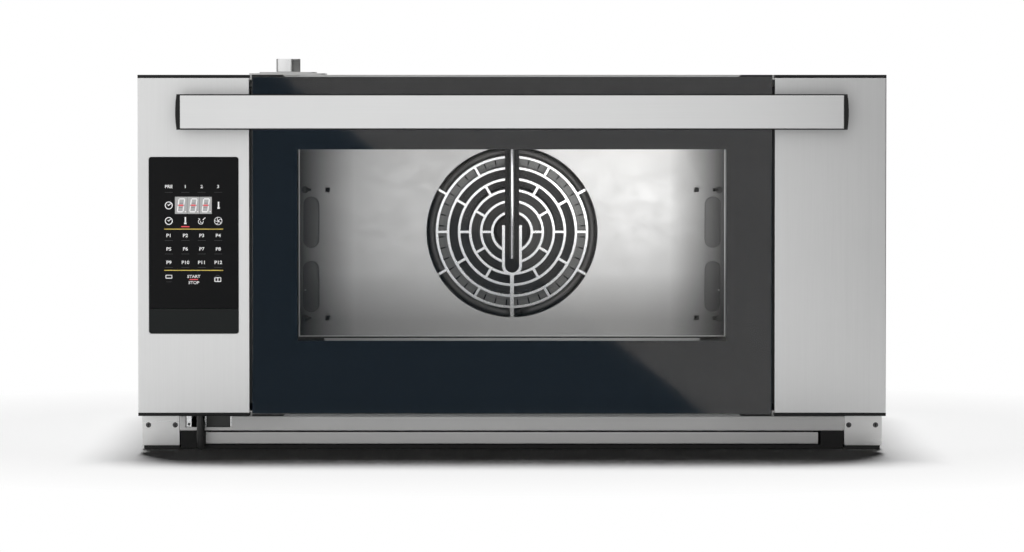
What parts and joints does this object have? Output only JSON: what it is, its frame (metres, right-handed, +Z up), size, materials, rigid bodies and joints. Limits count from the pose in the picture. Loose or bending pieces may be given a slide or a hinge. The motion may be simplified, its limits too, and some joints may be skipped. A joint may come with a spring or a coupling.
{
  "type": "convection oven",
  "caption": "Low countertop convection oven with a drop-down glass door, bar handle, touch panel on the left, fan behind a ring grille, drip tray in the base and a flue on top.",
  "frame": {"origin": "on the floor under the middle of the oven, handle included", "axes": "+X to the right seen from the front, +Y to the back, +Z up"},
  "size_m": [0.8, 0.811, 0.423],
  "materials": {
    "casing_steel": "satin stainless sheet",
    "door_steel": "stainless sheet with an upright brush grain",
    "handle_steel": "stainless bar with a lengthways brush grain",
    "rail_steel": "stainless sheet with a lengthways brush grain",
    "inner_steel": "plain stainless sheet",
    "cavity_steel": "plain stainless sheet, darker inside the fan chamber",
    "guard_steel": "polished stainless sheet",
    "wheel_steel": "stainless sheet darkened by heat",
    "element_steel": "oxidised tube",
    "zinc_steel": "zinc-plated steel",
    "screw_steel": "machined steel",
    "chrome": "polished",
    "brass": "machined",
    "clear_glass": "clear float glass",
    "black_enamel": "black screen print on glass",
    "panel_glass": "glossy black",
    "lamp_glass": "frosted glass",
    "display": "grey display",
    "black_plastic": "moulded, fine grain",
    "grey_plastic": "moulded, fine grain",
    "cover_plastic": "satin",
    "black_rubber": "matt",
    "gasket_rubber": "silicone, matt",
    "conduit_plastic": "smooth black sleeve",
    "mineral_wool": "pressed wool",
    "motor_paint": "satin paint",
    "board": "circuit board"
  },
  "bodies": {
    "chassis": {"outer_casing": "casing_steel", "front_frame": "inner_steel", "base_frame": "casing_steel", "corner_plates": "rail_steel", "corner_screws": "screw_steel", "foot_pads": "black_rubber", "front_rail": "rail_steel", "inlet_bracket": "inner_steel", "inlet_cover": "grey_plastic", "tray_housing": "black_plastic", "control_conduit": "conduit_plastic", "cavity_liner": "cavity_steel", "insulation": "mineral_wool", "door_gasket": "gasket_rubber", "fan_guard": "guard_steel", "guard_posts": "inner_steel", "guard_studs": "chrome", "heating_element": "element_steel", "steam_pipe": "chrome", "pipe_nut": "screw_steel", "cavity_lamp": "lamp_glass", "tray_supports": "chrome", "motor": "motor_paint", "motor_bracket": "zinc_steel", "chimney_tube": "chrome", "chimney_lower_flange": "casing_steel", "chimney_upper_flange": "casing_steel", "rear_panel": "zinc_steel", "cable_gland": "black_plastic", "water_inlet": "brass", "electronics_tray": "zinc_steel", "power_board": "board", "hinge_arms": "screw_steel", "hinge_mounts": "zinc_steel"},
    "door": {"door_frame": "inner_steel", "outer_glass": "clear_glass", "glass_print": "black_enamel", "glass_clips": "black_plastic", "glass_posts": "black_plastic", "inner_glass": "clear_glass", "inner_glass_clips": "inner_steel", "fascia_right": "door_steel", "fascia_left": "door_steel", "fascia_trims": "black_plastic", "handle_face": "handle_steel", "handle_core": "black_plastic", "handle_caps": "black_plastic", "handle_standoffs": "black_plastic", "control_glass": "panel_glass", "control_cover": "cover_plastic", "control_box": "black_plastic", "control_board": "board", "display_module": "display", "door_hinges": "zinc_steel", "hinge_pins": "screw_steel", "conduit_grommet": "black_rubber"},
    "fan": {"fan_wheel": "wheel_steel", "fan_nut": "screw_steel", "motor_shaft": "screw_steel"},
    "drip_tray": {"drip_tray": "rail_steel"}
  },
  "joints": [
    {"name": "door_hinge", "type": "hinge", "parent": "chassis", "child": "door", "pos_m": [0, -0.3395, 0.068], "axis": [1, 0, 0], "range_deg": [0, 90], "stiffness_Nm_per_rad": 7, "springref_deg": -17.19, "deforming": ["control_conduit"]},
    {"name": "fan_spin", "type": "hinge", "parent": "chassis", "child": "fan", "pos_m": [0, 0.2, 0.2232], "axis": [0, 1, 0], "continuous": true},
    {"name": "drip_tray_slide", "type": "slide", "parent": "chassis", "child": "drip_tray", "axis": [0, -1, 0], "range_m": [0, 0.25]}
  ]
}
